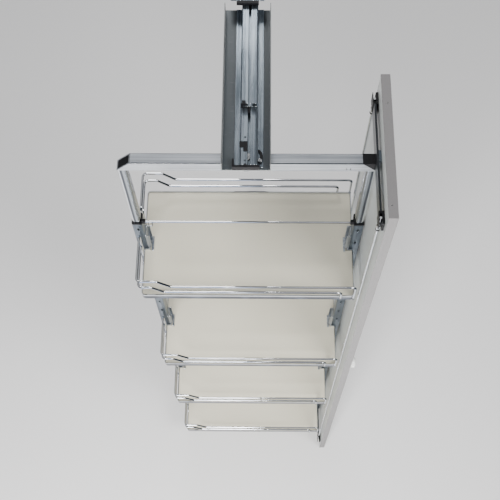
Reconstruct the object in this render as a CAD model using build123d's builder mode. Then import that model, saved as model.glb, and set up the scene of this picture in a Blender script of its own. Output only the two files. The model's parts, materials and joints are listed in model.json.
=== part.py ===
"""Swing-out tall larder pull-out: ceiling and floor runners, turning frame, four trays and a door panel."""

import os

from build123d import *

# All sizes in millimetres. The origin is the middle of the ceiling screw pattern, on the cabinet ceiling.
# +Z is up, -Y points out of the cabinet. The model stands pulled out, with the frame turned across it.
room_height = 1966.0
pivot_y = -615.0

# Plates screwed to the cabinet ceiling and floor, each with a T-shaped rail
plate_width = 70.0
plate_front_y = -284.0
plate_rear_y = 288.0
plate_thickness = 2.5
screw_spacing_x = 50.0
screw_spacing_y = 240.0
screw_rows = 3
screw_hole_d = 4.5

# Slide sections. Each "depth" is the distance from the ceiling, or from the floor for the lower runner.
slide_x = 5.0
foot_width = 20.0
foot_thickness = 2.0
web_thickness = 3.0
fixed_foot_depth = 14.0
middle_foot_depth = 29.0
box_width = 32.0
box_height = 12.0
box_sheet = 1.5
box_slot = 5.0
middle_box_depth = 9.0
beam_box_depth = 24.0
middle_front_y = -515.0
middle_length = 346.0
middle_rear_y = middle_front_y + middle_length

# Ball cages of the top slide
ball_d = 3.6
ball_pitch = 15.0
ball_x = 12.25
cage_sheet = 1.2
rear_cage_front_y = -276.0
rear_cage_length = 84.0
front_cage_front_y = -505.0
front_cage_length = 200.0

# Beam and floor beam: U-channels that carry the pivot
beam_width = 92.0
beam_sheet = 1.5
beam_wall_height = 25.0
beam_floor_depth = 37.5
beam_front_y = pivot_y - 27.0
beam_length = 362.0
beam_rear_y = beam_front_y + beam_length
beam_rail_front_y = pivot_y - 22.0
strip_width = 54.0
bumper_rear_y = pivot_y - 22.5
bumper_width = 51.0
bumper_height = 12.0
bumper_arm_x = -24.0
bumper_arm_width = 3.6
bumper_arm_reach = 13.5
catch_thickness = 1.1

# Catch on the front end of the top middle rail
end_catch_sheet = 1.5
end_catch_side = 5.4
end_catch_lip = 13.2
end_catch_lip_height = 4.2
end_catch_tongue_width = 4.4
end_catch_tongue_reach = 13.0

# Pivot between beam and frame
stud_d = 12.0
bush_bore_d = 12.1
bush_d = 18.0
bush_flange_d = 21.6
stud_head_d = 17.0

# Lock lever on the beam floor
lever_pin_x = 25.6
lever_pin_y = pivot_y - 10.0
lever_pin_d = 4.0
lever_bore_d = 4.1

# Turning frame
tube_depth_top = 40.0
tube_height = 28.0
tube_depth = 22.0
tube_sheet = 2.5
tube_inner_radius = 2.0
tube_edge_step = 1.4
tube_half_short = 216.2
tube_half_long = 244.2
post_x = 235.0
upper_post_width = 18.4
upper_post_depth = 22.0
lower_post_width = 22.0
lower_post_depth = 26.0
post_sheet = 1.5
lower_post_top = -306.0
upper_post_bottom = -330.0
tube_far_depth = tube_depth_top + tube_height
collar_top = -301.0
collar_width = 22.6
collar_depth = 26.6
lug_top = -295.5
lug_length = 7.0
rod_d = 4.6
rod_y = pivot_y - 7.0
rod_z = -303.0
rod_half_length = 219.0
post_slot_pitch = 64.0
post_slot_count = 24

# Trays
tray_length = 467.0
tray_depth = 256.0
rim_height = 20.0
rim_sheet = 2.0
ledge_width = 12.0
ledge_sheet = 1.2
tray_corner = 8.0
notch_x = 221.5
notch_half = 15.5
board_gap = 0.3
board_thickness = 14.0
tray_levels = (-443.4, -972.0, -1395.3, -1810.6)
wire_d = 5.0
wire_bend = 9.0
wire_x = 234.5
wire_y = 129.0
upper_wire_height = 74.0
upper_wire_raised = 102.3
lower_wire_height = 43.2
lower_wire_raised = 68.6

# Tray brackets
bracket_sheet = 2.0
bracket_reach = 8.5
bracket_height = 60.0
bracket_half_depth = 13.0
bracket_foot_width = 5.0
bracket_foot_length = 34.0

# Door panel, its bars and rods
door_x = 249.5
door_thickness = 18.0
door_width = 298.0
door_top = 16.0
door_height = 2000.0
bar_thickness = 4.0
bar_gap = 5.0
bar_half_length = 112.0
bar_depth = 26.0
bar_height = 34.0
block_half_width = 12.0
block_height = 30.0
screw_spacing = 14.0
screw_d = 4.0
screw_head_d = 7.0
screw_head_height = 2.0
screw_bite = 13.0
door_rod_d = 5.0
door_rod_x = 242.5
door_rod_y = 125.0
clamp_length = 26.0
clamp_width = 10.5
knob_d = 32.0
knob_y = pivot_y - 104.0
knob_z = -1006.0

ceiling = 1
floor = -1


def level(depth, side):
    """Height of a point that far below the ceiling, or that far above the floor."""
    return -depth if side == ceiling else depth - room_height


def across(y):
    """Section plane across the slides at this y; extrusions run from it towards -Y."""
    return Plane.XZ.offset(-y)


def section_bar(x_low, x_high, depth_low, depth_high, side, mode=Mode.ADD):
    """Rectangle of a slide section between two x values and two depths."""
    middle_depth = (depth_low + depth_high) / 2
    with Locations(((x_low + x_high) / 2, level(middle_depth, side))):
        Rectangle(x_high - x_low, depth_high - depth_low, mode=mode)


def section_slotted_box(depth, side):
    """Roll-formed box, open through a narrow slot in the wall at this depth."""
    inner_width = box_width - 2 * box_sheet
    inner_height = box_height - 2 * box_sheet
    with Locations((slide_x, level(depth + box_height / 2, side))):
        RectangleRounded(box_width, box_height, 2.8)
        RectangleRounded(inner_width, inner_height, 1.3, mode=Mode.SUBTRACT)
    slot_low = slide_x - box_slot / 2
    slot_high = slide_x + box_slot / 2
    section_bar(slot_low, slot_high, depth - 1, depth + box_sheet + 0.5, side, Mode.SUBTRACT)


def section_tee(web_depth, foot_depth, side):
    """Web from web_depth to a wide foot whose first face is at foot_depth."""
    half_web = web_thickness / 2
    half_foot = foot_width / 2
    section_bar(slide_x - half_web, slide_x + half_web, web_depth, foot_depth + 1, side)
    section_bar(slide_x - half_foot, slide_x + half_foot, foot_depth, foot_depth + foot_thickness, side)


def rounded_tube_section(width, depth, radius):
    """Hollow post section centred on the current location."""
    inner_width = width - 2 * post_sheet
    inner_depth = depth - 2 * post_sheet
    RectangleRounded(width, depth, radius)
    RectangleRounded(inner_width, inner_depth, max(radius - post_sheet, 0.5), mode=Mode.SUBTRACT)


def tray_outline(inset):
    """Tray outline with a notch for each post, moved inwards by inset."""
    notch_length = 40.0
    with Locations((0, pivot_y)):
        RectangleRounded(tray_length - 2 * inset, tray_depth - 2 * inset, max(tray_corner - inset, 1))
        with GridLocations(2 * (notch_x - inset) + notch_length, 1, 2, 1):
            Rectangle(notch_length, 2 * (notch_half + inset), mode=Mode.SUBTRACT)


def save(part, label):
    """Write one piece to its own STEP file."""
    part.label = label
    export_step(part, "parts/" + label + ".step")


os.makedirs("parts", exist_ok=True)
plate_length = plate_rear_y - plate_front_y
plate_middle_y = (plate_rear_y + plate_front_y) / 2

# Fixed pieces, once for the ceiling and once for the floor
for side, prefix in ((ceiling, "ceiling"), (floor, "floor")):
    with BuildPart() as plate:
        with BuildSketch(Plane.XY.offset(level(0, side))):
            with Locations((0, plate_middle_y)):
                RectangleRounded(plate_width, plate_length, 4)
            with GridLocations(screw_spacing_x, screw_spacing_y, 2, screw_rows):
                Circle(screw_hole_d / 2, mode=Mode.SUBTRACT)
        extrude(amount=-plate_thickness * side)
    save(plate.part, prefix + "_plate")

    with BuildPart() as rail:
        with BuildSketch(across(plate_rear_y)):
            section_bar(slide_x - 15, slide_x + 15, plate_thickness, plate_thickness + 1.5, side)
            section_tee(plate_thickness + 1, fixed_foot_depth, side)
        extrude(amount=plate_length)
    save(rail.part, prefix + "_rail")

# Bumper on the front edge of the ceiling plate
with BuildPart() as end_stop:
    with BuildSketch(Plane.XY):
        with Locations((0, plate_front_y - 3.75)):
            RectangleRounded(44, 7.5, 1.5)
    extrude(amount=-6.4)
save(end_stop.part, "ceiling_end_stop")

# Middle rails: a box that runs round the fixed foot, with a tee that runs in the beam's box
for side, prefix in ((ceiling, "top"), (floor, "floor")):
    with BuildPart() as middle:
        with BuildSketch(across(middle_rear_y)):
            section_slotted_box(middle_box_depth, side)
            section_tee(middle_box_depth + box_height - 1, middle_foot_depth, side)
        extrude(amount=middle_length)
    save(middle.part, prefix + "_middle_rail")

# Catch on the front end of the top middle rail: it frames the left of the opening and reaches over the groove
with BuildPart() as middle_catch:
    middle_box_end = middle_box_depth + box_height
    strip_end = middle_box_end + end_catch_sheet
    catch_left = slide_x - box_width / 2
    lip_end = middle_box_depth + end_catch_lip_height
    tongue_side = slide_x + end_catch_tongue_width / 2
    with BuildSketch(across(middle_front_y)):
        section_bar(catch_left, catch_left + end_catch_side, middle_box_depth, middle_box_end, ceiling)
        section_bar(catch_left, catch_left + end_catch_lip, middle_box_depth, lip_end, ceiling)
        section_bar(catch_left, tongue_side, middle_box_end, strip_end, ceiling)
    extrude(amount=end_catch_sheet)
    with BuildSketch(Plane.XY.offset(-strip_end)):
        with Locations((slide_x, middle_front_y - end_catch_tongue_reach / 2)):
            Rectangle(end_catch_tongue_width, end_catch_tongue_reach)
    extrude(amount=end_catch_sheet)
    # small square stop on the left lip
    with BuildSketch(Plane.XY.offset(-middle_box_depth)):
        with Locations((slide_x - 10, middle_front_y + 2)):
            Rectangle(7, 7)
    extrude(amount=1.6)
save(middle_catch.part, "top_middle_catch")

# Ball cages: a U-shaped strip under the foot with a row of balls on each side
cages = (
    ("top_rear_cage", rear_cage_front_y, rear_cage_length, fixed_foot_depth + foot_thickness / 2),
    ("top_front_cage", front_cage_front_y, front_cage_length, middle_foot_depth + foot_thickness / 2),
)
for label, front_y, length, ball_depth in cages:
    outer_half = ball_x + cage_sheet / 2
    inner_half = ball_x - cage_sheet / 2
    with BuildPart() as cage:
        with BuildSketch(across(front_y + length)):
            section_bar(
                slide_x - outer_half,
                slide_x + outer_half,
                ball_depth - 1.3,
                ball_depth + 3.2,
                ceiling,
            )
            section_bar(
                slide_x - inner_half,
                slide_x + inner_half,
                ball_depth - 2,
                ball_depth + 2.2,
                ceiling,
                Mode.SUBTRACT,
            )
        extrude(amount=length)
        with Locations((slide_x, front_y + length / 2, -ball_depth)):
            with GridLocations(2 * ball_x, ball_pitch, 2, int(length // ball_pitch)):
                Sphere(ball_d / 2)
    save(cage.part, label)

# Beams: U-channel, slotted rail on a strip, and the pivot stud through both
for side, prefix in ((ceiling, "beam"), (floor, "floor_beam")):
    wall_depth = beam_floor_depth - beam_wall_height
    inner_half = beam_width / 2 - beam_sheet
    strip_depth = beam_floor_depth - beam_sheet
    floor_plane = Plane.XY.offset(level(beam_floor_depth, side))

    with BuildPart() as channel:
        with BuildSketch(across(beam_rear_y)):
            section_bar(-beam_width / 2, beam_width / 2, wall_depth, beam_floor_depth, side)
            section_bar(-inner_half, inner_half, wall_depth, strip_depth, side, Mode.SUBTRACT)
        extrude(amount=beam_length)
        fillet(channel.edges().filter_by(Axis.Y).group_by(Axis.Z)[0 if side == ceiling else -1], 1.2)
        with BuildSketch(floor_plane):
            with Locations((0, pivot_y)):
                Circle(bush_bore_d / 2)
        extrude(amount=beam_sheet * side, mode=Mode.SUBTRACT)
    save(channel.part, prefix + "_channel")

    with BuildPart() as beam_rail:
        with BuildSketch(across(beam_rear_y)):
            section_slotted_box(beam_box_depth, side)
            strip_half = strip_width / 2
            strip_top = strip_depth - box_sheet
            section_bar(slide_x - strip_half, slide_x + strip_half, strip_top, strip_depth, side)
        extrude(amount=beam_rear_y - beam_rail_front_y)
        with BuildSketch(Plane.XY.offset(level(strip_depth, side))):
            with Locations((0, pivot_y)):
                Circle(bush_bore_d / 2)
        extrude(amount=box_sheet * side, mode=Mode.SUBTRACT)
        if side == ceiling:
            with BuildSketch(Plane.XY.offset(-beam_box_depth)):
                with Locations((slide_x - 7, pivot_y + 36), (slide_x - 7, pivot_y - 13)):
                    Circle(1.8)
            extrude(amount=-box_sheet, mode=Mode.SUBTRACT)
    save(beam_rail.part, prefix + "_rail")

# Bumper across the front end of the beam, with an arm on the left and a small tongue on the left lip
with BuildPart() as bumper:
    bumper_length = bumper_rear_y - beam_front_y
    with BuildSketch(Plane.XY.offset(beam_sheet - beam_floor_depth)):
        with Locations((0, bumper_rear_y - bumper_length / 2)):
            RectangleRounded(bumper_width, bumper_length, 1.2)
        with Locations((bumper_arm_x, bumper_rear_y + bumper_arm_reach / 2 - 0.75)):
            Rectangle(bumper_arm_width, bumper_arm_reach + 1.5)
    extrude(amount=bumper_height)
    with BuildSketch(Plane.XY.offset(-beam_box_depth)):
        with BuildLine():
            Polyline(
                (-5, bumper_rear_y - 1),
                (2, bumper_rear_y - 1),
                (-1.5, bumper_rear_y + 4),
                close=True,
            )
        make_face()
    extrude(amount=1)
save(bumper.part, "beam_bumper")

# Catch on the left lip of the beam rail, near the pivot
with BuildPart() as beam_catch:
    with BuildSketch(Plane.XY.offset(-beam_box_depth)):
        with Locations((slide_x - 10, pivot_y + 16.5)):
            Rectangle(14.6, 21)
        with Locations((slide_x - 14, pivot_y + 10)):
            Rectangle(8, 9, mode=Mode.SUBTRACT)
    extrude(amount=catch_thickness)
save(beam_catch.part, "beam_catch")

# Curved lock lever and its headed pin
with BuildPart() as lever:
    with BuildSketch(Plane.XY.offset(-33.8)):
        with BuildLine():
            outer_edge = ThreePointArc((23.5, pivot_y + 13.5), (31, pivot_y + 2), (28.5, pivot_y - 10))
            inner_edge = ThreePointArc((21.8, pivot_y + 12), (26.2, pivot_y + 3), (23, pivot_y - 8))
            Line(outer_edge @ 0, inner_edge @ 0)
            Line(outer_edge @ 1, inner_edge @ 1)
        make_face()
        with Locations((lever_pin_x, lever_pin_y)):
            Circle(4)
            Circle(lever_bore_d / 2, mode=Mode.SUBTRACT)
    extrude(amount=4)
save(lever.part, "swing_lock_lever")

with BuildPart() as lever_pin:
    with BuildSketch(Plane.XY.offset(-34.5)):
        with Locations((lever_pin_x, lever_pin_y)):
            Circle(lever_pin_d / 2)
    extrude(amount=5.1)
    with BuildSketch(Plane.XY.offset(-29.4)):
        with Locations((lever_pin_x, lever_pin_y)):
            Circle(3.5)
    extrude(amount=1.4)
save(lever_pin.part, "lever_pin")

# Pivot studs and flanged bushes; the top stud has a collar below the tube that carries the frame
for side, prefix in ((ceiling, "top"), (floor, "bottom")):
    head_depth = beam_floor_depth - beam_sheet - box_sheet
    with BuildPart() as stud:
        with BuildSketch(Plane.XY.offset(level(head_depth, side))):
            with Locations((0, pivot_y)):
                Circle(stud_head_d / 2)
        extrude(amount=2.5 * side)
        with BuildSketch(Plane.XY.offset(level(head_depth, side))):
            with Locations((0, pivot_y)):
                Circle(stud_d / 2)
        extrude(amount=(head_depth - tube_far_depth - 4) * side)
        if side == ceiling:
            with BuildSketch(Plane.XY.offset(-tube_far_depth - 2)):
                with Locations((0, pivot_y)):
                    Circle(9.5)
            extrude(amount=-4)
    save(stud.part, prefix + "_pivot_stud")

    with BuildPart() as bush:
        with BuildSketch(Plane.XY.offset(level(tube_far_depth + 1.5, side))):
            with Locations((0, pivot_y)):
                Circle(bush_d / 2)
        extrude(amount=(tube_height + 1.5) * side)
        with BuildSketch(Plane.XY.offset(level(tube_depth_top, side))):
            with Locations((0, pivot_y)):
                Circle(bush_flange_d / 2)
        extrude(amount=2 * side)
        with BuildSketch(Plane.XY.offset(level(tube_far_depth + 2, side))):
            with Locations((0, pivot_y)):
                Circle(bush_bore_d / 2)
        extrude(amount=(tube_height + 5) * side, mode=Mode.SUBTRACT)
    save(bush.part, prefix + "_pivot_bush")

# Top and bottom tubes: stepped long edges, ends cut at 45 degrees
for side, prefix in ((ceiling, "top"), (floor, "bottom")):
    near_z = level(tube_depth_top, side)
    far_z = level(tube_far_depth, side)
    with BuildPart() as tube:
        with BuildSketch(Plane.YZ.offset(-tube_half_long)):
            with Locations((pivot_y, (near_z + far_z) / 2)):
                Rectangle(tube_depth, tube_height)
                RectangleRounded(
                    tube_depth - 2 * tube_sheet,
                    tube_height - 2 * tube_sheet,
                    tube_inner_radius,
                    mode=Mode.SUBTRACT,
                )
            with Locations((pivot_y, near_z)):
                with GridLocations(tube_depth, 1, 2, 1):
                    Rectangle(2 * tube_edge_step, 2 * tube_edge_step, mode=Mode.SUBTRACT)
        extrude(amount=2 * tube_half_long)
        with BuildSketch(across(pivot_y + tube_depth / 2)):
            for hand in (-1, 1):
                with BuildLine():
                    Polyline(
                        (hand * tube_half_short, near_z),
                        (hand * tube_half_long, far_z),
                        (hand * (tube_half_long + 5), far_z),
                        (hand * (tube_half_long + 5), near_z),
                        close=True,
                    )
                make_face()
        extrude(amount=tube_depth, mode=Mode.SUBTRACT)
        with BuildSketch(Plane.XY.offset(far_z)):
            with Locations((0, pivot_y)):
                Circle(bush_d / 2)
        extrude(amount=tube_height * side, mode=Mode.SUBTRACT)
        if side == ceiling:
            with BuildSketch(across(pivot_y - tube_depth / 2 + tube_sheet)):
                with Locations((188, -60), (195, -60)):
                    SlotOverall(6, 2, rotation=90)
            extrude(amount=tube_sheet, mode=Mode.SUBTRACT)
    save(tube.part, prefix + "_tube")

# Plugs in the cut ends of the top tube
cap_high = -tube_depth_top - tube_sheet
cap_low = -tube_far_depth + tube_sheet
for hand, prefix in ((-1, "left"), (1, "right")):
    with BuildPart() as end_cap:
        with BuildSketch(across(pivot_y + tube_depth / 2 - tube_sheet)):
            with BuildLine():
                Polyline(
                    (hand * (tube_half_short + tube_sheet), cap_high),
                    (hand * (tube_half_long - tube_sheet), cap_low),
                    (hand * (tube_half_long - tube_sheet - 12), cap_low),
                    (hand * (tube_half_short + tube_sheet - 12), cap_high),
                    close=True,
                )
            make_face()
        extrude(amount=tube_depth - 2 * tube_sheet)
        fillet(end_cap.edges().filter_by(Axis.X), tube_inner_radius)
    save(end_cap.part, prefix + "_end_cap")

# Posts and the collars between their telescoping halves
bottom_tube_top = level(tube_far_depth, floor)
for hand, prefix in ((-1, "left"), (1, "right")):
    post_place = (hand * post_x, pivot_y)
    with BuildPart() as upper_post:
        with BuildSketch(Plane.XY.offset(upper_post_bottom)):
            with Locations(post_place):
                rounded_tube_section(upper_post_width, upper_post_depth, 5)
        extrude(amount=-tube_far_depth - upper_post_bottom)
    save(upper_post.part, prefix + "_upper_post")

    slot_middle_z = lower_post_top - 24 - post_slot_pitch * (post_slot_count - 1) / 2
    with BuildPart() as lower_post:
        with BuildSketch(Plane.XY.offset(bottom_tube_top)):
            with Locations(post_place):
                rounded_tube_section(lower_post_width, lower_post_depth, 2.5)
        extrude(amount=lower_post_top - bottom_tube_top)
        with BuildSketch(across(pivot_y - lower_post_depth / 2 + post_sheet)):
            with Locations((hand * post_x, slot_middle_z)):
                with GridLocations(1, post_slot_pitch, 1, post_slot_count):
                    SlotOverall(14, 4.5, rotation=90)
        extrude(amount=post_sheet, mode=Mode.SUBTRACT)
    save(lower_post.part, prefix + "_lower_post")

    lug_inner = post_x - collar_width / 2 - lug_length
    with BuildPart() as collar:
        with BuildSketch(Plane.XY.offset(lower_post_top)):
            with Locations(post_place):
                RectangleRounded(collar_width, collar_depth, 3)
                RectangleRounded(upper_post_width, upper_post_depth, 5, mode=Mode.SUBTRACT)
        extrude(amount=collar_top - lower_post_top)
        with BuildSketch(Plane.XY.offset(lower_post_top)):
            with Locations((hand * (lug_inner + lug_length / 2 + 0.5), rod_y)):
                Rectangle(lug_length + 1, 7)
        extrude(amount=lug_top - lower_post_top)
        with BuildSketch(Plane.YZ.offset(hand * lug_inner)):
            with Locations((rod_y, rod_z)):
                Circle(rod_d / 2)
        extrude(amount=hand * (rod_half_length - lug_inner), mode=Mode.SUBTRACT)
    save(collar.part, prefix + "_collar")

# Cross rod between the collars, with a round eye near its left end
with BuildPart() as cross_rod:
    with BuildSketch(Plane.YZ.offset(-rod_half_length)):
        with Locations((rod_y, rod_z)):
            Circle(rod_d / 2)
    extrude(amount=2 * rod_half_length)
    with Locations((-206, rod_y - 6.3, rod_z)):
        Torus(4.4, 1.1)
save(cross_rod.part, "cross_rod")

# Trays: a welded basket of rim and wires, a loose board in it, and a pair of post brackets
for number, rim_bottom in enumerate(tray_levels, start=1):
    prefix = "tray_" + str(number)
    foot_z = rim_bottom + 5
    upper_z = rim_bottom + upper_wire_height
    upper_high_z = rim_bottom + upper_wire_raised
    lower_z = rim_bottom + lower_wire_height
    lower_high_z = rim_bottom + lower_wire_raised
    # x of the right leg, x where the wire starts and ends its climb, both heights, y offset of the left leg
    runs = (
        (-1, 231.0, -164.0, -192.0, upper_z, upper_high_z, 21.0),
        (-1, 202.7, -181.0, -207.0, lower_z, lower_high_z, 30.0),
        (1, 231.0, -164.0, -192.0, upper_z, upper_high_z, 42.0),
        (1, 202.7, -181.0, -207.0, lower_z, lower_high_z, 51.0),
    )

    with BuildPart() as basket:
        with BuildSketch(Plane.XY.offset(rim_bottom)):
            tray_outline(0)
        extrude(amount=rim_height)
        with BuildSketch(Plane.XY.offset(rim_bottom + ledge_sheet)):
            tray_outline(rim_sheet)
        extrude(amount=rim_height, mode=Mode.SUBTRACT)
        with BuildSketch(Plane.XY.offset(rim_bottom)):
            tray_outline(ledge_width)
        extrude(amount=ledge_sheet, mode=Mode.SUBTRACT)
        for edge, leg_x, climb_start, climb_end, low_z, high_z, leg_y in runs:
            run_y = pivot_y + edge * wire_y
            with BuildLine() as wire:
                FilletPolyline(
                    (leg_x, run_y, foot_z),
                    (leg_x, run_y, low_z),
                    (climb_start, run_y, low_z),
                    (climb_end, run_y, high_z),
                    (-wire_x, run_y, high_z),
                    (-wire_x, pivot_y + edge * leg_y, high_z),
                    (-wire_x, pivot_y + edge * leg_y, foot_z),
                    radius=wire_bend,
                )
            with BuildSketch(Plane((leg_x, run_y, foot_z))):
                Circle(wire_d / 2)
            sweep(path=wire.wire())
    save(basket.part, prefix + "_basket")

    with BuildPart() as board:
        with BuildSketch(Plane.XY.offset(rim_bottom + ledge_sheet)):
            tray_outline(rim_sheet + board_gap)
        extrude(amount=board_thickness)
    save(board.part, prefix + "_board")

    board_top = rim_bottom + ledge_sheet + board_thickness
    bracket_bottom = rim_bottom + rim_height + 1
    post_face = post_x - lower_post_width / 2
    with BuildPart() as brackets:
        with BuildSketch(Plane.XY.offset(bracket_bottom)):
            for hand in (-1, 1):
                with Locations((hand * (post_face - bracket_reach / 2), pivot_y)):
                    Rectangle(bracket_reach, 2 * bracket_half_depth)
        extrude(amount=bracket_height)
        with BuildSketch(Plane.XY.offset(bracket_bottom + bracket_sheet)):
            for hand in (-1, 1):
                with Locations((hand * (post_face - bracket_reach / 2 - bracket_sheet), pivot_y)):
                    Rectangle(bracket_reach, 2 * (bracket_half_depth - bracket_sheet))
        extrude(amount=bracket_height, mode=Mode.SUBTRACT)
        with BuildSketch(Plane.XY.offset(board_top)):
            for hand in (-1, 1):
                with Locations((hand * (post_face - bracket_reach + 1), pivot_y)):
                    Rectangle(2, 2 * bracket_half_depth - 4)
        extrude(amount=bracket_bottom - board_top + 1)
        foot_x = post_face - bracket_reach + 1 - bracket_foot_width / 2
        with BuildSketch(Plane.XY.offset(board_top)):
            for hand in (-1, 1):
                with Locations((hand * foot_x, pivot_y - 3)):
                    Rectangle(bracket_foot_width, bracket_foot_length)
        extrude(amount=3)
    save(brackets.part, prefix + "_brackets")

# Door panel with pilot holes for the screws of both bars and two small peg holes in its top edge
bar_middle_depth = bar_depth + bar_height / 2
bar_face_x = door_x - bar_gap - bar_thickness
with BuildPart() as door_panel:
    with BuildSketch(Plane.YZ.offset(door_x)):
        with Locations((pivot_y, door_top - door_height / 2)):
            Rectangle(door_width, door_height)
    extrude(amount=door_thickness)
    fillet(door_panel.edges(), 1)
    with BuildSketch(Plane.YZ.offset(door_x)):
        for side in (ceiling, floor):
            with Locations((pivot_y, level(bar_middle_depth, side))):
                with GridLocations(screw_spacing, 1, 2, 1):
                    Circle(screw_d / 2)
    extrude(amount=screw_bite, mode=Mode.SUBTRACT)
    with BuildSketch(Plane.XY.offset(door_top)):
        with Locations((259, pivot_y + 85.5), (256, pivot_y - 123)):
            Circle(1.5)
    extrude(amount=-4, mode=Mode.SUBTRACT)
save(door_panel.part, "door_panel")

# Bars that stand off the door on blocks, and the wedges between the bars and the cut ends of the tubes
for side, prefix in ((ceiling, "top"), (floor, "bottom")):
    bar_middle_z = level(bar_middle_depth, side)
    with BuildPart() as bar:
        with BuildSketch(Plane.YZ.offset(bar_face_x)):
            with Locations((pivot_y, bar_middle_z)):
                RectangleRounded(2 * bar_half_length, bar_height, 2)
        extrude(amount=bar_thickness)
        with BuildSketch(Plane.YZ.offset(bar_face_x)):
            with Locations((pivot_y, bar_middle_z)):
                with GridLocations(screw_spacing, 1, 2, 1):
                    Circle(screw_d / 2)
        extrude(amount=bar_thickness, mode=Mode.SUBTRACT)
        with BuildSketch(Plane.YZ.offset(bar_face_x)):
            with Locations((pivot_y, bar_middle_z)):
                with GridLocations(screw_spacing, 1, 2, 1):
                    Circle(screw_head_d / 2)
        extrude(amount=screw_head_height, mode=Mode.SUBTRACT)
    save(bar.part, "door_" + prefix + "_bar")

    with BuildPart() as spacer_block:
        with BuildSketch(Plane.YZ.offset(door_x - bar_gap)):
            with Locations((pivot_y, bar_middle_z)):
                Rectangle(2 * block_half_width, block_height)
                with GridLocations(screw_spacing, 1, 2, 1):
                    Circle(screw_d / 2, mode=Mode.SUBTRACT)
        extrude(amount=bar_gap)
    save(spacer_block.part, "door_" + prefix + "_block")

    wedge_drop = bar_face_x - tube_half_short
    with BuildPart() as wedge:
        with BuildSketch(across(pivot_y + tube_depth / 2)):
            with BuildLine():
                Polyline(
                    (tube_half_short, level(tube_depth_top, side)),
                    (bar_face_x, level(tube_depth_top, side)),
                    (bar_face_x, level(tube_depth_top + wedge_drop, side)),
                    close=True,
                )
            make_face()
        extrude(amount=tube_depth)
    save(wedge.part, "door_" + prefix + "_wedge")

with BuildPart() as door_screws:
    screw_length = door_x + screw_bite - bar_face_x
    for side in (ceiling, floor):
        for diameter, reach in ((screw_head_d, screw_head_height), (screw_d, screw_length)):
            with BuildSketch(Plane.YZ.offset(bar_face_x)):
                with Locations((pivot_y, level(bar_middle_depth, side))):
                    with GridLocations(screw_spacing, 1, 2, 1):
                        Circle(diameter / 2)
            extrude(amount=reach)
save(door_screws.part, "door_screws")

# Upright rods down the door, held in forked clamps at the ends of both bars
rod_top = -30.0
for hand, prefix in ((-1, "front"), (1, "rear")):
    with BuildPart() as door_rod:
        with BuildSketch(Plane.XY.offset(rod_top)):
            with Locations((door_rod_x, pivot_y + hand * door_rod_y)):
                Circle(door_rod_d / 2)
        extrude(amount=-room_height - 2 * rod_top)
    save(door_rod.part, "door_" + prefix + "_rod")

with BuildPart() as clamps:
    for side in (ceiling, floor):
        for hand in (-1, 1):
            clamp_y = pivot_y + hand * (bar_half_length + clamp_length / 2)
            with BuildSketch(Plane.XY.offset(level(bar_depth + 2, side))):
                with Locations((door_x - clamp_width / 2, clamp_y)):
                    Rectangle(clamp_width, clamp_length)
                with Locations((door_rod_x, pivot_y + hand * (bar_half_length + clamp_length / 2 + 3))):
                    Rectangle(door_rod_d, clamp_length - 6 + 1, mode=Mode.SUBTRACT)
            extrude(amount=-(bar_height - 4) * side)
save(clamps.part, "rod_clamps")

sleeve_depth = bar_depth + bar_height + 2
for label, sleeve_d, near_depth, far_depth in (
    ("rod_sleeves", 8.0, sleeve_depth, sleeve_depth + 14),
    ("rod_rings", 8.8, sleeve_depth + 14, sleeve_depth + 18),
):
    with BuildPart() as sleeves:
        for side in (ceiling, floor):
            with BuildSketch(Plane.XY.offset(level(near_depth, side))):
                with Locations((door_rod_x, pivot_y)):
                    with GridLocations(1, 2 * door_rod_y, 1, 2):
                        Circle(sleeve_d / 2)
                        Circle(door_rod_d / 2, mode=Mode.SUBTRACT)
            extrude(amount=-(far_depth - near_depth) * side)
    save(sleeves.part, label)

with BuildPart() as knob:
    with BuildSketch(Plane.YZ.offset(door_x + door_thickness)):
        with Locations((knob_y, knob_z)):
            Circle(8)
    extrude(amount=9)
    with BuildSketch(Plane.YZ.offset(door_x + door_thickness + 8)):
        with Locations((knob_y, knob_z)):
            Circle(knob_d / 2)
    extrude(amount=16)
    fillet(knob.faces().sort_by(Axis.X)[-1].edges(), 7)
save(knob.part, "door_knob")
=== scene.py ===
import json
import math

import bpy
from mathutils import Matrix, Vector


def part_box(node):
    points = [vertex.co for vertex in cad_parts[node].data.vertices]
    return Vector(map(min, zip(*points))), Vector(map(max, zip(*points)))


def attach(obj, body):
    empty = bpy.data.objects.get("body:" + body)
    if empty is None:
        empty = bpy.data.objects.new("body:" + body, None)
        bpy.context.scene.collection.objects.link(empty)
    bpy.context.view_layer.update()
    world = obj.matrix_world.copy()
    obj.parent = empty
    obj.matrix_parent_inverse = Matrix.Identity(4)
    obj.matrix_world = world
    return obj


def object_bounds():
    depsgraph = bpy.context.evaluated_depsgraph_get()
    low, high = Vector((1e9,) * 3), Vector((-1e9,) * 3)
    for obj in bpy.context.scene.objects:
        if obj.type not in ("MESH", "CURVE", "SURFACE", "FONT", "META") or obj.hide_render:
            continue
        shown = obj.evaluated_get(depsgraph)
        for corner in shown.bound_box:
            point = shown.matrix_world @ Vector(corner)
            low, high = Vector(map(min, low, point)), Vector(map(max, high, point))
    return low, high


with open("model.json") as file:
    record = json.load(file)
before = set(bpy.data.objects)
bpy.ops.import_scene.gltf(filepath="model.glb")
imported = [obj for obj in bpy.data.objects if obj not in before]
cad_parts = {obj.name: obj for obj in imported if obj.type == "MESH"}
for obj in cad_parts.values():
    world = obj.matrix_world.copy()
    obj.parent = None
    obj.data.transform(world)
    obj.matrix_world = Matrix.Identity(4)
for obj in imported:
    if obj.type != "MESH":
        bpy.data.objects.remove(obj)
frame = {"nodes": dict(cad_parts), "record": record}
cadLow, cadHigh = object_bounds()
nodes = frame["nodes"]
slotOf = {part["node"]: part["material_slot"] for part in frame["record"]["subparts"]}
print("frame loaded,", len(nodes), "parts")


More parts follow.
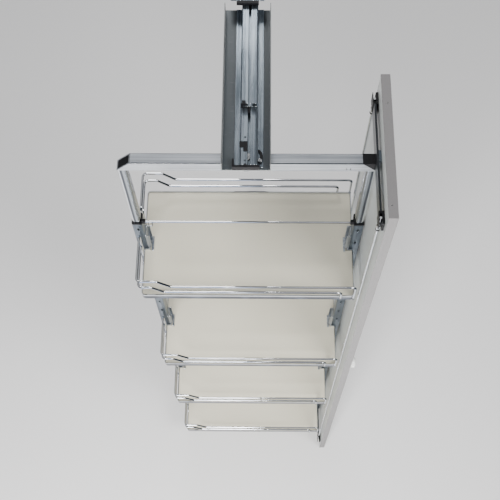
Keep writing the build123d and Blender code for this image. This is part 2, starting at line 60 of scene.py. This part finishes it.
class Socket:
    # wraps one output so that shader maths reads like plain arithmetic
    def __init__(self, tree, out):
        self.tree = tree
        self.out = out

    def maths(self, operation, first, second=None):
        node = self.tree.nodes.new("ShaderNodeMath")
        node.operation = operation
        for spot, value in zip(node.inputs, (first, second)):
            if isinstance(value, Socket):
                self.tree.links.new(value.out, spot)
            elif value is not None:
                spot.default_value = value
        return Socket(self.tree, node.outputs[0])

    def __add__(self, other):
        return self.maths("ADD", self, other)

    def __radd__(self, other):
        return self.maths("ADD", other, self)

    def __sub__(self, other):
        return self.maths("SUBTRACT", self, other)

    def __rsub__(self, other):
        return self.maths("SUBTRACT", other, self)

    def __mul__(self, other):
        return self.maths("MULTIPLY", self, other)

    def __rmul__(self, other):
        return self.maths("MULTIPLY", other, self)

    def __truediv__(self, other):
        return self.maths("DIVIDE", self, other)

    def __pow__(self, other):
        return self.maths("POWER", self, other)

    def __gt__(self, other):
        return self.maths("GREATER_THAN", self, other)

    def __lt__(self, other):
        return self.maths("LESS_THAN", self, other)

    def __abs__(self):
        return self.maths("ABSOLUTE", self)

    def either(self, other):
        return self.maths("MAXIMUM", self, other)


class Finish:
    # a material being built: fixed values go on the shader, patterns are wired in
    def __init__(self, name, fixed):
        self.material = bpy.data.materials.new(name)
        self.material.use_nodes = True
        self.tree = self.material.node_tree
        self.shader = self.tree.nodes["Principled BSDF"]
        for socket, value in fixed.items():
            self.shader.inputs[socket].default_value = value
        self.place = self.add("ShaderNodeTexCoord", {}, {}, "Object")
        self.axes = [self.add("ShaderNodeSeparateXYZ", {}, {"Vector": self.place}, axis) for axis in "XYZ"]

    def add(self, kind, settings, sockets, out=0):
        node = self.tree.nodes.new(kind)
        for key, value in settings.items():
            if key == "stops":
                elements = node.color_ramp.elements
                while len(elements) < len(value):
                    elements.new(1)
                for stop, (at, colour) in zip(elements, value):
                    stop.position = at
                    stop.color = (*colour, 1)
            else:
                setattr(node, key, value)
        for key, value in sockets.items():
            if isinstance(value, Socket):
                self.tree.links.new(value.out, node.inputs[key])
            else:
                node.inputs[key].default_value = value
        return Socket(self.tree, node.outputs[out])

    def noise(self, scale, stretch=(1, 1, 1), detail=3):
        spread = self.add("ShaderNodeMapping", {}, {"Vector": self.place, "Scale": stretch})
        return self.add("ShaderNodeTexNoise", {}, {"Vector": spread, "Scale": scale, "Detail": detail})

    def rise(self):
        # how far a face looks up: 1 on tops, 0 on walls, -1 underneath; every joint keeps it
        plain = self.add("ShaderNodeNewGeometry", {}, {}, "Normal")
        return self.add("ShaderNodeSeparateXYZ", {}, {"Vector": plain}, "Z")

    def tones(self, value, stops):
        return self.add("ShaderNodeValToRGB", {"stops": stops}, {"Fac": value})

    def ramp(self, value, low, high):
        sockets = {0: value, 1: low, 2: high, 3: 0, 4: 1}
        return self.add("ShaderNodeMapRange", {"interpolation_type": "SMOOTHSTEP"}, sockets)

    def blend(self, share, first, second):
        sockets = {0: share}
        for spot, colour in ((6, first), (7, second)):
            sockets[spot] = (*colour, 1) if isinstance(colour, tuple) else colour
        return self.add("ShaderNodeMix", {"data_type": "RGBA"}, sockets, 2)

    def edges(self, radius):
        # 1 along sharp edges, 0 on flats
        rounded = self.add("ShaderNodeBevel", {"samples": 4}, {"Radius": radius})
        plain = self.add("ShaderNodeNewGeometry", {}, {}, "Normal")
        product = {"operation": "DOT_PRODUCT"}
        agree = self.add("ShaderNodeVectorMath", product, {0: rounded, 1: plain}, "Value")
        return self.ramp(1 - agree, 0.01, 0.12)

    def feed(self, socket, value):
        self.tree.links.new(value.out, self.shader.inputs[socket])

    def bump(self, height, strength, distance, radius=None):
        sockets = {"Height": height, "Strength": strength, "Distance": distance}
        if radius:
            sockets["Normal"] = self.add("ShaderNodeBevel", {"samples": 4}, {"Radius": radius})
        self.feed("Normal", self.add("ShaderNodeBump", {}, sockets))


def platedFinish(name, look):
    # drawn or plated metal: fine streaks along one axis, cloudy patches, and brighter edges that are partly
    # edge wear and partly a painted highlight
    metal = Finish(name, {"Metallic": look["metal"], "Specular IOR Level": 0.5})
    streaks = metal.noise(look["streakScale"], look["stretch"], 4)
    clouds = metal.noise(9, (1, 1, 1), 3)
    specks = metal.noise(420, (1, 1, 1), 2)
    shade = metal.ramp(streaks * 0.55 + clouds * 0.45, 0.36, 0.64)
    # brighter edges: a painted highlight along the sharp edges, mixed with edge wear
    edgeWearAndHighlightMask = metal.edges(look["edge"])
    body = metal.blend(shade, look["dark"], look["light"])
    edgeWearAndHighlightTone = metal.blend(edgeWearAndHighlightMask * 0.75, body, look["edgeWearAndHighlightTone"])
    if "step" in look:  # painted shade: the dark line in the stepped long edges of a tube
        stepZ, middleY, half = look["step"]
        inStep = (abs(metal.axes[1] - middleY) > half) * (metal.axes[2] > stepZ)
        edgeWearAndHighlightTone = metal.blend(inStep, edgeWearAndHighlightTone, look["stepShadeTone"])
    metal.feed("Base Color", edgeWearAndHighlightTone)
    grey = look["rough"] + (streaks - 0.5) * look["roughSpread"]
    metal.feed("Roughness", grey + clouds * 0.06 - edgeWearAndHighlightMask * 0.05)
    metal.bump(streaks * 0.7 + specks * 0.3, look["bump"], 0.0003, look["edge"])
    return metal.material


def paintedFinish(name, look):
    # sprayed or moulded skin: fine grain, slight cloudiness, scuffs, and lighter edges that are partly edge
    # wear and partly a painted highlight
    gloss = look.get("gloss", 0.5)
    skin = Finish(name, {"Metallic": look["metal"], "IOR": 1.5, "Specular IOR Level": gloss})
    grain = skin.noise(look["grain"], (1, 1, 1), 5)
    clouds = skin.noise(14, (1, 1, 1), 2)
    scuffs = skin.ramp(skin.noise(60, (1, 6, 1), 6), 0.6, 0.72)
    # lighter edges: a painted highlight along the sharp edges, mixed with edge wear
    edgeWearAndHighlightMask = skin.edges(look["edge"])
    body = skin.blend(clouds * 0.7 + grain * 0.3, look["dark"], look["light"])
    edgeWearAndHighlightTone = skin.blend(edgeWearAndHighlightMask * look.get("edgeWearAndHighlightShare", 0.55) + scuffs * 0.04, body, look["edgeWearAndHighlightTone"])
    skin.feed("Base Color", edgeWearAndHighlightTone)
    skin.feed("Roughness", look["rough"] + (grain - 0.5) * 0.16 + scuffs * 0.08)
    skin.bump(grain, look["bump"], 0.0004, look["edge"])
    return skin.material


def chromeFinish(name, look, lips=()):
    # mirror plate: painted reflection bands, bright and dark, that wrap round it, smears, dull pits, and a
    # dark painted shade lip at the bottom of each rim
    plate = Finish(name, {"Metallic": 1.0, "Specular IOR Level": 0.5})
    smears = plate.noise(16, (1, 1, 1), 4)
    waves = plate.noise(34, (1, 1, 1), 3)
    pits = plate.ramp(plate.noise(700, (1, 1, 1), 1), 0.68, 0.76)
    # painted reflection: bands of tone set by how far each face looks up
    paintedReflectionBands = plate.tones(plate.rise() * 0.5 + 0.5 + (waves - 0.5) * look["wander"], look["paintedReflectionBands"])
    tint = plate.blend(plate.ramp(smears, 0.5, 0.8) * 0.25, paintedReflectionBands, look["light"])
    # painted shade: a dark band at the bottom of each rim, with a faint painted glint
    for lip in lips:
        dark = plate.blend(plate.ramp(smears, 0.45, 0.65), look["lip"], look["lipGlint"])
        half = look["lipHeight"] / 2
        tint = plate.blend(abs(plate.axes[2] - lip - half) < half, tint, dark)
    plate.feed("Base Color", plate.blend(pits * 0.4, tint, look["pit"]))
    smeared = plate.ramp(smears, 0.5, 0.75) * look["smear"]
    plate.feed("Roughness", look["rough"] + smeared + pits * 0.2)
    plate.bump(smears + pits * -0.3, look["bump"], 0.0002)
    return plate.material


def postFinish(look):
    # polished posts: painted reflection strips, a bright outer strip, a dark strip and a grey inner flank,
    # that run the whole height, and a painted highlight along the edges
    post = Finish("polishedPost", {"Metallic": 1.0, "Specular IOR Level": 0.5})
    low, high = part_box("left_upper_post")
    width = high[0] - low[0]
    # the same painted reflection strips on both posts: 0 at the inner flank, 1 at the outer edge
    outward = (abs(post.axes[0]) + low[0] + width) / width
    smears = post.noise(30, (1, 1, 0.15), 4)
    # painted reflection: fixed strips of tone across the post
    reflectionStrips = post.tones(outward + (smears - 0.5) * 0.2, look["reflectionStrips"])
    # painted highlight: the post is lightened along its sharp edges
    post.feed("Base Color", post.blend(post.edges(0.0008) * 0.5, reflectionStrips, look["edge"]))
    post.feed("Roughness", look["rough"] + smears * 0.12)
    post.bump(smears, 0.04, 0.0002)
    return post.material


def boardFinish(look):
    # faced chipboard: a faint linen weave, drifting tone and a darker sawn edge band
    board = Finish("creamTrayBoard", {"IOR": 1.46, "Coat Weight": 0.08})
    weave = board.noise(900, (1, 0.25, 1), 2) * 0.5 + board.noise(900, (0.25, 1, 1), 2) * 0.5
    drift = board.noise(5, (1, 1, 1), 2)
    dust = board.ramp(board.noise(260, (1, 1, 1), 4), 0.62, 0.7)
    rim = board.edges(0.0012)
    tone = board.blend(drift * 0.6 + weave * 0.4, look["shade"], look["face"])
    board.feed("Base Color", board.blend(rim * 0.6 + dust * 0.1, tone, look["band"]))
    board.feed("Roughness", 0.46 + (weave - 0.5) * 0.25 + dust * 0.1)
    board.bump(weave, 0.25, 0.0002, 0.0008)
    return board.material


def doorFinish(look):
    # laminated door: pale faces with a fine pore grain along the height, warm grey banding round the edges,
    # and a painted highlight along the sharp corners
    door = Finish("laminatedDoor", {"IOR": 1.48, "Coat Weight": 0.12})
    low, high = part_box("door_panel")
    _, y, z = door.axes
    inset = 0.0011
    across = abs(y - (low[1] + high[1]) / 2) > (high[1] - low[1]) / 2 - inset
    along = abs(z - (low[2] + high[2]) / 2) > (high[2] - low[2]) / 2 - inset
    band = across.either(along)
    pores = door.noise(520, (1, 1, 0.06), 3)
    drift = door.noise(4, (1, 1, 0.4), 2)
    core = door.noise(850, (1, 1, 1), 4)
    face = door.blend(drift * 0.5 + pores * 0.5, look["shade"], look["face"])
    edge = door.blend(core, look["bandDark"], look["band"])
    # painted highlight: the door is lightened along its sharp corners
    corner = door.edges(0.0012)
    laminate = door.blend(band, face, edge)
    door.feed("Base Color", door.blend(corner * 0.35, laminate, look["corner"]))
    door.feed("Roughness", 0.34 + (pores - 0.5) * 0.2 + band * 0.16)
    door.bump(pores * 0.6 + core * band * 0.4, 0.18, 0.0002, 0.001)
    return door.material


def knobFinish(look):
    # glossy lacquer with a soft orange peel
    knob = Finish("lacqueredKnob", {"Coat Weight": 0.6, "Coat Roughness": 0.08})
    peel = knob.noise(300, (1, 1, 1), 2)
    soil = knob.ramp(knob.noise(40, (1, 1, 1), 4), 0.58, 0.75)
    knob.feed("Base Color", knob.blend(soil * 0.4, look["clean"], look["soiled"]))
    knob.feed("Roughness", 0.2 + peel * 0.12 + soil * 0.1)
    knob.bump(peel, 0.1, 0.0003)
    return knob.material


chromeLook = {
    # painted reflection bands by facing: 0 underneath, 0.5 on walls, 1 on tops
    "paintedReflectionBands": (
        (0.0, (0.12, 0.14, 0.19)), (0.38, (0.03, 0.04, 0.07)), (0.50, (0.62, 0.65, 0.69)),
        (0.62, (0.07, 0.085, 0.11)),
        (0.86, (0.05, 0.06, 0.09)), (0.93, (0.92, 0.93, 0.95)), (1.0, (0.96, 0.97, 0.98)),
    ),
    # the near-black tone here is the painted shade at the rim bottoms, with its painted glint
    "light": (0.9, 0.91, 0.93), "pit": (0.25, 0.26, 0.28), "lip": (0.012, 0.018, 0.035),
    "lipGlint": (0.07, 0.09, 0.13), "lipHeight": 0.0145,
    "rough": 0.05, "smear": 0.05, "wander": 0.14, "bump": 0.03,
}
tubeLow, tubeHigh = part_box("top_tube")
tubeMiddle = (tubeLow[1] + tubeHigh[1]) / 2
rimBottoms = [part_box(f"tray_{tray}_basket")[0][2] for tray in range(1, 5)]
basketChrome = chromeFinish("basketChrome", chromeLook, rimBottoms)
finishes = {
    # in every look below, the light edge tone is partly edge wear and partly a painted highlight along the
    # sharp edges
    "zinc_slide": platedFinish("brightZincSlide", {
        "metal": 0.9, "dark": (0.09, 0.11, 0.13), "light": (0.27, 0.31, 0.35), "edgeWearAndHighlightTone": (0.82, 0.85, 0.88),
        "streakScale": 160, "stretch": (1, 0.03, 1), "rough": 0.24, "roughSpread": 0.22, "bump": 0.12,
        "edge": 0.0008,
    }),
    "zinc_post": platedFinish("blueZincPost", {
        "metal": 0.9, "dark": (0.045, 0.062, 0.082), "light": (0.13, 0.16, 0.195),
        "edgeWearAndHighlightTone": (0.60, 0.66, 0.72),
        "streakScale": 180, "stretch": (1, 1, 0.03), "rough": 0.30, "roughSpread": 0.2, "bump": 0.12,
        "edge": 0.0009,
    }),
    "satin_tube": platedFinish("satinTube", {
        "metal": 0.85, "dark": (0.30, 0.32, 0.35), "light": (0.48, 0.50, 0.53),
        "edgeWearAndHighlightTone": (0.90, 0.91, 0.93),
        # painted shade line along the tube's stepped top edges
        "step": (tubeHigh[2] - 0.0016, tubeMiddle, (tubeHigh[1] - tubeLow[1]) / 2 - 0.0016),
        "stepShadeTone": (0.02, 0.024, 0.03), "streakScale": 200, "stretch": (0.02, 1, 1), "rough": 0.30,
        "roughSpread": 0.22, "bump": 0.14, "edge": 0.0009,
    }),
    "bracket_steel": platedFinish("pressedBracket", {
        "metal": 0.92, "dark": (0.20, 0.22, 0.25), "light": (0.46, 0.49, 0.52),
        "edgeWearAndHighlightTone": (0.82, 0.84, 0.86),
        "streakScale": 150, "stretch": (1, 1, 0.05), "rough": 0.28, "roughSpread": 0.2, "bump": 0.14,
        "edge": 0.0006,
    }),
    "steel_hardware": platedFinish("turnedHardware", {
        "metal": 1.0, "dark": (0.22, 0.23, 0.24), "light": (0.55, 0.56, 0.57), "edgeWearAndHighlightTone": (0.88, 0.88, 0.88),
        "streakScale": 260, "stretch": (1, 1, 0.3), "rough": 0.22, "roughSpread": 0.16, "bump": 0.1,
        "edge": 0.0004,
    }),
    "grey_paint": paintedFinish("greyPowderCoat", {
        "metal": 0.3, "dark": (0.030, 0.038, 0.044), "light": (0.056, 0.066, 0.073),
        "edgeWearAndHighlightTone": (0.86, 0.87, 0.86),
        "edgeWearAndHighlightShare": 0.9, "grain": 900, "rough": 0.40, "bump": 0.22, "edge": 0.0012,
    }),
    "black_plastic": paintedFinish("blackMoulding", {
        "metal": 0.0, "dark": (0.002, 0.002, 0.003), "light": (0.006, 0.006, 0.008),
        "edgeWearAndHighlightTone": (0.03, 0.03, 0.034),
        "gloss": 0.22, "grain": 700, "rough": 0.48, "bump": 0.25, "edge": 0.0006,
    }),
    "black_rubber": paintedFinish("softBlackRing", {
        "metal": 0.0, "dark": (0.006, 0.006, 0.006), "light": (0.015, 0.015, 0.015),
        "edgeWearAndHighlightTone": (0.05, 0.05, 0.05),
        "grain": 1200, "rough": 0.7, "bump": 0.4, "edge": 0.0004,
    }),
    "nylon": paintedFinish("naturalNylon", {
        "metal": 0.0, "dark": (0.62, 0.60, 0.54), "light": (0.78, 0.76, 0.70), "edgeWearAndHighlightTone": (0.88, 0.87, 0.84),
        "grain": 500, "rough": 0.38, "bump": 0.12, "edge": 0.0004,
    }),
    "dark_steel": paintedFinish("darkBarCoat", {
        "metal": 0.5, "dark": (0.014, 0.017, 0.021), "light": (0.032, 0.037, 0.043),
        "edgeWearAndHighlightTone": (0.22, 0.24, 0.26),
        "grain": 800, "rough": 0.34, "bump": 0.18, "edge": 0.0006,
    }),
    "slate_steel": paintedFinish("slateBlockCoat", {
        "metal": 0.5, "dark": (0.06, 0.08, 0.10), "light": (0.11, 0.135, 0.16),
        "edgeWearAndHighlightTone": (0.36, 0.40, 0.44),
        "grain": 800, "rough": 0.38, "bump": 0.18, "edge": 0.0006,
    }),
    "polished_post": postFinish({
        # painted reflection strips, from the inner flank to the outer edge
        "reflectionStrips": (
            (0.0, (0.16, 0.18, 0.21)), (0.42, (0.30, 0.33, 0.36)), (0.56, (0.03, 0.035, 0.045)),
            (0.72, (0.06, 0.07, 0.09)), (0.80, (0.80, 0.82, 0.84)), (1.0, (0.55, 0.58, 0.61)),
        ),
        # the first tone here is a painted highlight along the post edges
        "edge": (0.85, 0.87, 0.88), "rough": 0.14,
    }),
    "chrome": chromeFinish("chromeRod", chromeLook),
    "tray_board": boardFinish({
        "face": (0.76, 0.72, 0.58), "shade": (0.64, 0.60, 0.48), "band": (0.36, 0.34, 0.28),
    }),
    "door_board": doorFinish({
        "face": (0.50, 0.52, 0.50), "shade": (0.42, 0.44, 0.43),
        # the last tone here is the painted highlight along the door's sharp corners
        "band": (0.21, 0.20, 0.20), "bandDark": (0.145, 0.14, 0.14), "corner": (0.60, 0.59, 0.58),
    }),
    "white_knob": knobFinish({"clean": (0.86, 0.86, 0.83), "soiled": (0.70, 0.69, 0.64)}),
}
for name, node in nodes.items():
    node.data.materials.clear()
    node.data.materials.append(basketChrome if name.endswith("_basket") else finishes[slotOf[name]])
print("finishes on,", len(finishes))

bead = {"radius": 0.0036, "flat": 0.75, "tall": 1.35, "sink": -0.0012, "below": 0.0045}
welds = {  # wire feet on the rim: x of the right legs, and y of the left legs from the middle
    "right": (0.231, 0.2027), "left": (0.021, 0.030, 0.042, 0.051), "wireX": 0.2345,
}


def deselect():
    if bpy.context.object and bpy.context.object.mode != "OBJECT":
        bpy.ops.object.mode_set(mode="OBJECT")
    bpy.ops.object.select_all(action="DESELECT")


def beadShape():
    # a squat drop with a flat back, sitting against a face that looks along -Y
    deselect()
    bpy.ops.mesh.primitive_uv_sphere_add(segments=14, ring_count=10, radius=bead["radius"])
    drop = bpy.context.object
    bpy.ops.object.mode_set(mode="EDIT")
    bpy.ops.mesh.select_all(action="SELECT")
    bpy.ops.transform.resize(value=(1, bead["flat"], bead["tall"]))
    bpy.ops.mesh.bisect(
        plane_co=(0, -bead["sink"], 0), plane_no=(0, 1, 0), use_fill=True, clear_outer=True, clear_inner=False
    )
    bpy.ops.mesh.select_all(action="SELECT")
    bpy.ops.mesh.normals_make_consistent(inside=False)
    bpy.ops.object.mode_set(mode="OBJECT")
    bpy.ops.object.shade_smooth_by_angle(angle=math.radians(50))
    return drop


def weldBeads(tray, drop):
    low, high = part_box(f"tray_{tray}_board")
    middle = (low[1] + high[1]) / 2
    topZ = low[2] + 0.0188 - bead["below"]
    sideY = (high[1] - low[1]) / 2 + 0.0022
    spots = [(x, middle + way * sideY, way) for x in welds["right"] for way in (-1, 1)]
    spots += [(-welds["wireX"] + 0.001, middle + way * y, 0) for y in welds["left"] for way in (-1, 1)]
    copies = []
    for x, y, way in spots:
        copy = drop.copy()
        copy.data = drop.data.copy()
        quarter = {-1: 0, 0: -math.pi / 2, 1: math.pi}[way]
        copy.data.transform(Matrix.Translation((x, y, topZ)) @ Matrix.Rotation(quarter, 4, "Z"))
        bpy.context.scene.collection.objects.link(copy)
        copies.append(copy)
    deselect()
    for copy in copies:
        copy.select_set(True)
    bpy.context.view_layer.objects.active = copies[0]
    bpy.ops.object.join()
    beads = bpy.context.object
    beads.name = f"tray{tray}WeldBeads"
    beads.data.materials.append(beadMetal)
    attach(beads, "frame")


# the weld beads get painted reflection bands too: dark underneath, bright on top
beadMetal = chromeFinish("platedWeldBead", {
    "paintedReflectionBands": (
        (0.0, (0.05, 0.06, 0.08)), (0.45, (0.07, 0.08, 0.11)), (0.7, (0.4, 0.42, 0.45)),
        (0.95, (0.85, 0.86, 0.88)),
    ),
    "light": (0.6, 0.61, 0.63), "pit": (0.12, 0.12, 0.13), "rough": 0.22, "smear": 0.15,
    "wander": 0.5, "bump": 0.2,
})
drop = beadShape()
for tray in range(1, 5):
    weldBeads(tray, drop)
bpy.data.objects.remove(drop)
print("weld beads on")

cam = {"place": (0.0301, -1.4403, 1.4389), "down": 66.58, "turn": -1.88, "roll": -1.43, "lens": 65.42}
down, turn, roll = (math.radians(cam[k]) for k in ("down", "turn", "roll"))
look = Vector((math.sin(turn) * math.cos(down), math.cos(turn) * math.cos(down), -math.sin(down)))
side = Vector((math.cos(turn), -math.sin(turn), 0))
up = side.cross(look)
right = side * math.cos(roll) + up * math.sin(roll)
top = up * math.cos(roll) - side * math.sin(roll)
bpy.ops.object.select_all(action="DESELECT")
bpy.ops.object.camera_add(location=cam["place"])
camera = bpy.context.object
camera.rotation_mode = "QUATERNION"
camera.rotation_quaternion = Matrix((right, top, -look)).transposed().to_quaternion()
camera.data.lens = cam["lens"]
camera.data.sensor_width = 36
bpy.context.scene.camera = camera
print("camera placed")

studio = {
    "floorTone": (0.80, 0.79, 0.785), "floorRough": 0.75,
    "sky": (0.95, 0.97, 1.0), "horizon": (0.40, 0.42, 0.45), "skyStrength": 0.5,
    "lights": (  # place, aim, width, watts
        ((1.7, -2.1, 2.2), (0, -0.6, -0.8), 1.3, 110),
        ((-0.5, -2.7, -0.2), (0, -0.5, -1.9), 1.0, 120),
        ((-0.3, 1.6, 1.8), (0, -0.5, -0.5), 0.8, 30),
    ),
}
bpy.ops.mesh.primitive_plane_add(size=30, location=(0, 0, cadLow[2] - 0.001))
floor = bpy.context.object
floor.name = "studioFloor"
paper = Finish("studioPaper", {})
paper.feed("Base Color", paper.blend(paper.noise(3, (1, 1, 1), 2), studio["floorTone"],
                                     tuple(tone * 0.985 for tone in studio["floorTone"])))
paper.feed("Roughness", studio["floorRough"] + paper.noise(40, (1, 1, 1), 2) * 0.1)
floor.data.materials.append(paper.material)

world = bpy.data.worlds.new("studio")
bpy.context.scene.world = world
world.use_nodes = True
tree = world.node_tree
facing = tree.nodes.new("ShaderNodeTexCoord")
split = tree.nodes.new("ShaderNodeSeparateXYZ")
lift = tree.nodes.new("ShaderNodeMapRange")
tint = tree.nodes.new("ShaderNodeMix")
tint.data_type = "RGBA"
lift.interpolation_type = "SMOOTHSTEP"
lift.inputs[1].default_value = 0.15
lift.inputs[2].default_value = 0.75
tint.inputs[6].default_value = (*studio["horizon"], 1)
tint.inputs[7].default_value = (*studio["sky"], 1)
tree.links.new(facing.outputs["Generated"], split.inputs[0])
tree.links.new(split.outputs["Z"], lift.inputs[0])
tree.links.new(lift.outputs[0], tint.inputs[0])
tree.links.new(tint.outputs[2], tree.nodes["Background"].inputs["Color"])
tree.nodes["Background"].inputs["Strength"].default_value = studio["skyStrength"]
for place, aim, width, watts in studio["lights"]:
    bpy.ops.object.select_all(action="DESELECT")
    bpy.ops.object.light_add(type="AREA", location=place)
    lamp = bpy.context.object
    lamp.data.energy = watts
    lamp.data.size = width
    lamp.rotation_euler = (Vector(aim) - lamp.location).to_track_quat("-Z", "Y").to_euler()
print("stage and lights in")
